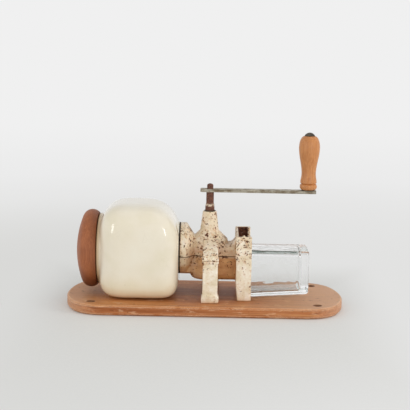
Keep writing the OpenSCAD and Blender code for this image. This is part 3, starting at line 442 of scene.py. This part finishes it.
looks = {
    "board_wood": wood(
        "board_wood", along=0, ring=6.5, pith=(0, 24, -70),
        colours=("#854822", "#ab663a", "#c4875a", "#4f2812"),
        seed=1.0, gloss=0.4, shine=0.2, marks=board_marks,
    ),
    "lid_wood": wood(
        "lid_wood", along=2, ring=7.0, pith=(-190, 60, 0),
        colours=("#884a29", "#9e5c36", "#ae6b42", "#5c2c1a"),
        seed=11.0, gloss=0.46, shine=0.4, figure=0.5, marks=lid_marks,
    ),
    "handle_wood": wood(
        "handle_wood", along=2, ring=5.5, pith=(150, 30, 0),
        colours=("#a86735", "#bd7d48", "#cb8e58", "#764421"),
        seed=21.0, gloss=0.3, figure=0.35,
    ),
    "cream_paint": cast_paint(),
    "cream_glaze": glaze(),
    "clear_glass": glass(),
    "rusty_steel": rusted(
        "rusty_steel", ("#3a2119", "#6b4436", "#8f6046"),
        size=1.6, depth=0.22, metallic=0.15, splash=(118.4, 122.4),
    ),
    "burr_iron": rusted(
        "burr_iron", ("#2b2523", "#4b443f", "#6d6257"),
        size=1.1, depth=0.12, metallic=0.6,
    ),
    "worn_steel": metal(
        "worn_steel", ("#7d7667", "#cbc4b3", "#6b593f"),
        roughness=0.38, brushed=(26, 0.9, 0.9), tarnish=0.85,
    ),
    "steel": metal(
        "steel", ("#4a443c", "#6f675b", "#3b3128"),
        roughness=0.34, brushed=(2.5, 2.5, 2.5), tarnish=0.6, seed=30.0,
    ),
    "bronze": metal(
        "bronze", ("#7a5a2c", "#a57f42", "#57401f"),
        roughness=0.35, brushed=(3, 3, 0.4), tarnish=0.5, seed=60.0,
    ),
    "black_rubber": rubber(),
}


# Ways of making and finishing pieces

def make(name, points, faces, body, slot, replaced):
    """A new smooth piece in the place of a CAD node."""
    mesh = bpy.data.meshes.new(name)
    mesh.from_pydata(points, [], faces)
    mesh.update()
    for face in mesh.polygons:
        face.use_smooth = True
    mesh.materials.append(looks[slot])
    piece = bpy.data.objects.new(name, mesh)
    bpy.context.scene.collection.objects.link(piece)
    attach(piece, body)
    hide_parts(replaced)
    return piece


def skin(rings):
    """Points and faces through rings of points in millimetres, the last ring joined to the first."""
    count, sides = len(rings), len(rings[0])
    points = [Vector(p) * MM for ring in rings for p in ring]
    faces = []
    for i in range(count):
        step = ((i + 1) % count - i) * sides
        for j in range(sides):
            a, b = i * sides + j, i * sides + (j + 1) % sides
            faces.append((a, b, b + step, a + step))
    return points, faces


def weld(piece):
    """Joins the points that a CAD mesh splits along its edges."""
    piece.modifiers.new("weld", "WELD").merge_threshold = 0.01 * MM


def soften(piece, width, angle):
    """Rounds the edges that turn by more than angle degrees."""
    bevel = piece.modifiers.new("soft_edges", "BEVEL")
    bevel.width = width * MM
    bevel.segments = 3
    bevel.limit_method = "ANGLE"
    bevel.angle_limit = math.radians(angle)
    bevel.harden_normals = True
    bevel.use_clamp_overlap = True
    bevel.miter_outer = "MITER_ARC"


def cast(node):
    """Turns a sharp CAD solid into a casting with soft edges and an uneven skin."""
    voxel, passes, lump, lump_size = 0.7, 8, 0.35, 7
    piece = nodes[node]
    weld(piece)
    remesh = piece.modifiers.new("skin", "REMESH")
    remesh.mode = "VOXEL"
    remesh.voxel_size = voxel * MM
    remesh.use_smooth_shade = True
    smooth = piece.modifiers.new("smooth", "SMOOTH")
    smooth.factor = 0.5
    smooth.iterations = passes
    cloud = bpy.data.textures.new(node + "_lumps", "CLOUDS")
    cloud.noise_scale = lump_size * MM
    cloud.noise_depth = 2
    rough = piece.modifiers.new("lumps", "DISPLACE")
    rough.texture = cloud
    rough.texture_coords = "LOCAL"
    rough.strength = lump * MM
    rough.mid_level = 0.5


# Pieces

def jar():
    """The hopper jar: a square body with bowed faces, a short round neck and an open end."""
    low, high = (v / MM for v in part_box("hopper_jar"))
    half_y, half_up, half_down = 53.0, 56.0, 55.0
    wall, neck, mouth, outlet, seat, fillet = 5.5, 42.0, 34.0, 20.0, 31.6, 0.9
    neck_length, neck_drop = 3.0, 2.0
    rim, rim_steps, outer_steps, inner_steps, sides = 1.6, 6, 140, 60, 208
    # How full the sides, the front and the back stay towards the lid and towards the mill
    lid_end, mill_end = (4.4, 3.7, 4.8), (5.0, 2.6, 6.0)
    # How square the front and the back are across the jar
    square_up, square_down = 4.4, 6.5
    # The share of a bow that is used, so that the ends of the body are flat
    flat = 0.97
    start, end = low.x + neck_length, high.x
    middle, half_x = (start + end) / 2, (end - start) / 2

    def share(place, bow):
        return (1 - (abs(place) * flat) ** bow) ** (1 / bow)

    def ring(x, reach):
        turns = [2 * math.pi * (j + 0.5) / sides for j in range(sides)]
        return [(x, reach(t) * math.cos(t), AXIS_Z + reach(t) * math.sin(t)) for t in turns]

    def even(radius):
        """The reach of a circle round the jar's axis."""
        return lambda turn: radius

    def lowered(radius):
        """The reach of a circle round the neck's axis, which lies below the jar's."""
        def reach(turn):
            return math.sqrt(radius ** 2 - (neck_drop * math.cos(turn)) ** 2) - neck_drop * math.sin(turn)

        return reach

    def body(place, inset, least):
        """A ring of the body, from -1 at the lid to 1 at the mill, which keeps to a least reach."""
        bow_y, bow_up, bow_down = lid_end if place < 0 else mill_end
        y = (half_y - inset) * share(place, bow_y)
        up = (half_up - inset) * share(place, bow_up)
        down = (half_down - inset) * share(place, bow_down)

        def reach(turn):
            half_z, power = (up, square_up) if math.sin(turn) > 0 else (down, square_down)
            across, along = abs(math.cos(turn)) / y, abs(math.sin(turn)) / half_z
            full = 1 / (across ** power + along ** power) ** (1 / power)
            return (full + least(turn) + math.sqrt((full - least(turn)) ** 2 + fillet ** 2)) / 2

        return ring(middle + place * (half_x - inset), reach)

    def places(steps):
        return [math.sin(math.pi * (i / steps - 0.5)) for i in range(steps + 1)]

    rings = []
    for i in range(rim_steps + 1):
        angle = math.pi * (1 - i / rim_steps)
        radius = (neck + mouth + (neck - mouth) * math.cos(angle)) / 2
        rings.append(ring(low.x + rim * (1 - math.sin(angle)), lowered(radius)))
    for place in places(outer_steps):
        rings.append(body(place, 0, lowered(neck) if place < 0 else even(seat)))
    rings += [ring(end, even(seat)), ring(end, even(outlet)), ring(end - wall, even(outlet))]
    for place in reversed(places(inner_steps)):
        rings.append(body(place, wall, lowered(mouth) if place < 0 else even(0)))
    rings.append(ring(low.x + rim + 1, lowered(mouth)))
    points, faces = skin(rings)
    make("glazed_jar", points, faces, "frame", "cream_glaze", "hopper_jar")


def cup():
    """The pressed glass: a tapered box with round edges, a hollow and two lips at its mouth."""
    low, high = (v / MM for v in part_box("glass_cup"))
    half, lip_out = 25.0, high.y
    mouth_x, foot_x, lip_x = low.x, high.x, low.x + 8.7
    top, mouth_low, foot_low = high.z, low.z, low.z + 5.5
    lip_low, lip_high, lip_room = 24.0, top - 4.5, 0.5
    wall, bottom, edge = 4.5, 9.0, 4.5
    foot_round, hollow_round, hollow_edge = 3.0, 3.5, edge - wall * 0.5
    arc_steps, rows = 9, 6

    def arc(first, y, z, radius):
        """A quarter of a circle from its first angle in degrees."""
        turns = [math.radians(first + 90 * i / arc_steps) for i in range(arc_steps + 1)]
        return [(y + radius * math.cos(t), z + radius * math.sin(t)) for t in turns]

    def ring(x, inset, radius, lip):
        """The outline at x, with its sides drawn in by inset and its lips out to lip."""
        share = (x - mouth_x) / (foot_x - mouth_x)
        z0 = mouth_low + (foot_low - mouth_low) * share + inset
        z1, y1 = top - inset, half - inset
        lip_z0, lip_z1 = max(lip_low, z0 + radius + lip_room), min(lip_high, z1 - radius - lip_room)
        side = arc(-90, y1 - radius, z0 + radius, radius)
        side += [(y1, lip_z0), (lip, lip_z0), (lip, lip_z1), (y1, lip_z1)]
        side += arc(0, y1 - radius, z1 - radius, radius)
        other = [(-y, z) for y, z in reversed(side)]
        return [(x, y, z) for y, z in side + other]

    rings = [ring(mouth_x, 0, edge, lip_out), ring(lip_x, 0, edge, lip_out), ring(lip_x, 0, edge, half)]
    foot_start = foot_x - foot_round
    for i in range(1, rows + 1):
        rings.append(ring(lip_x + (foot_start - lip_x) * i / rows, 0, edge, half))
    for i in range(1, rows + 1):
        turn = math.radians(90 * i / rows)
        sunk = foot_round * (1 - math.cos(turn))
        rings.append(ring(foot_start + foot_round * math.sin(turn), sunk, edge - sunk * 0.4, half - sunk))
    outside = len(rings)
    hollow_start = foot_x - bottom - hollow_round
    for i in range(rows + 1):
        turn = math.radians(90 * (1 - i / rows))
        sunk = wall + hollow_round * (1 - math.cos(turn))
        rings.append(ring(hollow_start + hollow_round * math.sin(turn), sunk, hollow_edge, half - sunk))
    for i in range(1, rows + 1):
        x = hollow_start + (mouth_x - hollow_start) * i / rows
        rings.append(ring(x, wall, hollow_edge, half - wall))

    # Two flat ends in the place of the faces that join the foot to the hollow's bottom
    points, faces = skin(rings)
    sides = len(rings[0])
    hollow_first = outside * sides
    foot_first = hollow_first - sides
    del faces[foot_first:hollow_first]
    faces.append(tuple(foot_first + j for j in range(sides)))
    faces.append(tuple(hollow_first + sides - 1 - j for j in range(sides)))
    piece = make("pressed_glass", points, faces, "glass", "clear_glass", "glass_cup")
    weld(piece)
    soften(piece, 0.9, 28)


def spring():
    """The burr's spring: a smooth, welded copy of the CAD coil with a mesh of its own, attached to the drive.
    """
    mesh = nodes["burr_spring"].data
    points = [v.co.copy() for v in mesh.vertices]
    faces = [tuple(face.vertices) for face in mesh.polygons]
    piece = make("coil_spring", points, faces, "drive", "steel", "burr_spring")
    weld(piece)
    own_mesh(piece)


for piece in nodes.values():
    slot = piece.data.materials[0].name.split(".")[0]
    piece.data.materials[0] = looks[slot]

jar()
cup()
spring()
cast("rear_casting")
cast("front_casting")
rounds = {"back_board": 0.9, "crank_arm": 0.5, "spindle": 0.15, "adjusting_nut": 0.25, "lid": 3.0}
for node, width in rounds.items():
    weld(nodes[node])
    soften(nodes[node], width, 30)


# Camera, floor and light

def camera():
    """The camera of the photograph, from a fit to the board's outline and the square collar."""
    azimuth, elevation, roll = (math.radians(v) for v in (0.56, 9.08, 1.01))
    place = Vector((11.57, -1325.6, 331.68)) * MM
    back = Vector((
        math.sin(azimuth) * math.cos(elevation),
        -math.cos(azimuth) * math.cos(elevation),
        math.sin(elevation),
    ))
    right = (-back).cross(Vector((0, 0, 1))).normalized()
    up = right.cross(-back)
    across = right * math.cos(roll) + up * math.sin(roll)
    upward = up * math.cos(roll) - right * math.sin(roll)
    data = bpy.data.cameras.new("camera")
    data.sensor_width = 36
    data.lens = 98.83
    data.clip_start, data.clip_end = 0.05, 50
    made = bpy.data.objects.new("camera", data)
    turned = Matrix((across, upward, back)).transposed().to_4x4()
    made.matrix_world = Matrix.Translation(place) @ turned
    bpy.context.scene.collection.objects.link(made)
    bpy.context.scene.camera = made


def floor():
    """A pale round floor that keeps the shadow near the object and runs out into the backdrop, with a painted
    shadow to the object's left in the backdrop's glow.
    """
    radius, height, sides = 4.0, -0.4 * MM, 128
    turns = [2 * math.pi * i / sides for i in range(sides)]
    rim = [Vector((radius * math.cos(t), radius * math.sin(t), height)) for t in turns]
    mesh = bpy.data.meshes.new("floor")
    mesh.from_pydata(rim, [], [tuple(range(sides))])
    made = bpy.data.objects.new("floor", mesh)
    bpy.context.scene.collection.objects.link(made)
    m = Look("paper_floor")
    x, y, _ = m.axes()
    away = m.math("SQRT", m.add(m.times(x, x), m.times(y, y)))
    tooth = m.noise(2.5, 3.0)
    m.done(m.ramp(tooth, (0.3, "#e6e6e4"), (0.7, "#eaeae8")), 0.9, m.bump(tooth, 0.05))
    far = m.ramp(m.fade(away, 250, 2600), (0.0, "#e2e2e1"), (0.35, "#ebebeb"), (1.0, "#f0f0f0"))
    # Painted shadow: the glow is darker to the left of the object, within 900 mm of it
    painted_shadow = m.times(m.fade(x, 150, -150), m.fade(away, 900, 300))
    far = m.mix(painted_shadow, far, rgb("#d9d9d7"))
    glow = m.node("Emission", {"Color": far}).outputs[0]
    beside = m.fade(m.math("ABSOLUTE", x), 135, 240)
    behind = m.fade(y, 70, 260)
    share = m.times(m.most(m.fade(away, 170, 540), behind, beside), m.seen_directly())
    mesh.materials.append(m.give_way(share, glow))


def sky():
    """A pale surround, which gives less light from behind and above."""
    world = bpy.data.worlds.new("surround")
    bpy.context.scene.world = world
    world.use_nodes = True
    m = Nodes(world.node_tree)
    back = m.tree.nodes["Background"]
    x, y, z = m.node("SeparateXYZ", {0: m.node("TexCoord").outputs["Generated"]}).outputs
    shown = m.ramp(m.fade(z, 0.0, 0.5), (0.0, "#f0f0f0"), (1.0, "#f4f4f4"))
    near = m.most(m.fade(y, 0.6, -0.9), m.fade(m.math("ABSOLUTE", x), 0.3, 0.95))
    given = m.ramp(near, (0.0, "#bcbec0"), (1.0, "#ebeae6"))
    given = m.mix(m.fade(z, 0.3, 1.0, 0.0, 0.3), given, rgb("#8c8d8e"))
    m.put(back.inputs["Color"], m.mix(m.seen_directly(), given, shown))
    back.inputs["Strength"].default_value = 1.0


def lamp(name, place, target, size, watts, mirrored=True):
    """A soft box, which shiny surfaces mirror or not. Lengths are in metres."""
    data = bpy.data.lights.new(name, "AREA")
    data.shape = "RECTANGLE"
    data.size, data.size_y = size
    data.energy = watts
    made = bpy.data.objects.new(name, data)
    made.location = place
    made.rotation_mode = "QUATERNION"
    made.rotation_quaternion = (Vector(target) - Vector(place)).to_track_quat("-Z", "Y")
    made.visible_glossy = mirrored
    bpy.context.scene.collection.objects.link(made)


camera()
floor()
sky()
mill = (0, 0, 0.08)
lamp("left_box", (-0.98, -1.4, 0.36), mill, (0.2, 0.6), 2.2)
lamp("right_box", (0.76, -1.45, 0.4), mill, (0.2, 0.6), 2.6)
lamp("left_fill", (-1.5, -0.6, 0.5), mill, (0.7, 0.7), 3.2, mirrored=False)
lamp("right_fill", (1.5, -0.5, 0.55), mill, (0.7, 0.7), 9, mirrored=False)
lamp("top_box", (0.0, -0.1, 1.9), (0, 0, 0), (1.8, 1.4), 1.0)

bpy.context.scene.view_settings.view_transform = "Standard"
bpy.context.view_layer.update()
